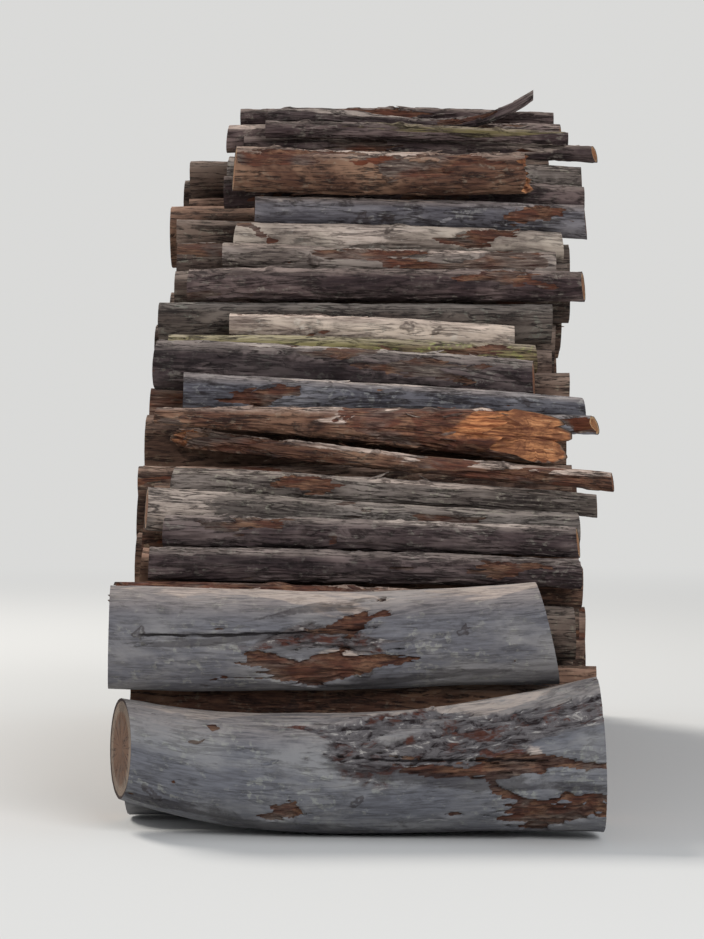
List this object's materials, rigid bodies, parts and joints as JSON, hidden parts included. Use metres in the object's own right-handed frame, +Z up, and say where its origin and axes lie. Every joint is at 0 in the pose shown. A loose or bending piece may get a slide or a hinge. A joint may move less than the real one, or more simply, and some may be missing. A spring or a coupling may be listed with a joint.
{
  "type": "stack of logs",
  "caption": "Free-standing stack of cross-cut hardwood logs, all lying one way, with a long front slope, a steeper far slope and two big logs at its foot.",
  "frame": {"origin": "middle of the stack's footprint, on the ground that it lies on", "axes": "+X along the logs, +Y from the long front slope to the far slope, +Z up"},
  "size_m": [2.2388, 6.6622, 3.4286],
  "materials": {
    "bluish_bark": "rough bark with sawn or broken ends",
    "brown_bark": "rough bark with sawn or broken ends",
    "dark_bark": "rough bark with sawn or broken ends",
    "grey_bark": "rough bark with sawn or broken ends",
    "mossy_bark": "rough bark with sawn or broken ends",
    "pale_bark": "rough bark with sawn or broken ends",
    "smooth_bark": "rough bark with sawn or broken ends",
    "stock_bark": "rough bark with sawn or broken ends"
  },
  "bodies": {
    "root": {"big_scarred_log": "smooth_bark", "big_upper_log": "smooth_bark", "bluish_log": "bluish_bark", "bluish_upper_log": "bluish_bark", "blunt_grey_log": "grey_bark", "bright_topped_log": "pale_bark", "broken_end_log": "brown_bark", "brown_thin_log": "brown_bark", "crest_log_bent": "dark_bark", "crest_log_front": "dark_bark", "crest_log_middle": "dark_bark", "crest_log_slim": "dark_bark", "dark_log_low": "dark_bark", "dark_log_upper": "dark_bark", "dark_upper_log": "dark_bark", "diagonal_log": "brown_bark", "grey_end_log": "grey_bark", "knotty_upper_log": "grey_bark", "long_dark_log": "dark_bark", "mossy_log": "mossy_bark", "narrow_slope_log": "grey_bark", "pink_end_log": "bluish_bark", "red_patched_log": "brown_bark", "second_ground_log": "smooth_bark", "slim_grey_log": "grey_bark", "stock_logs_1a": "stock_bark", "stock_logs_1b": "stock_bark", "stock_logs_1c": "stock_bark", "stock_logs_1d": "stock_bark", "stock_logs_2a": "stock_bark", "stock_logs_2b": "stock_bark", "stock_logs_2c": "stock_bark", "stock_logs_2d": "stock_bark", "stock_logs_3a": "stock_bark", "stock_logs_3b": "stock_bark", "stock_logs_3c": "stock_bark", "stock_logs_3d": "stock_bark", "stock_logs_4a": "stock_bark", "stock_logs_4b": "stock_bark", "stock_logs_4c": "stock_bark", "stock_logs_4d": "stock_bark", "stock_logs_5a": "stock_bark", "stock_logs_5b": "stock_bark", "stock_logs_5c": "stock_bark", "stock_logs_5d": "stock_bark", "stub_end_log": "dark_bark", "wedge_log": "brown_bark", "whitish_log": "pale_bark", "wide_slope_log": "dark_bark"}
  },
  "joints": []
}
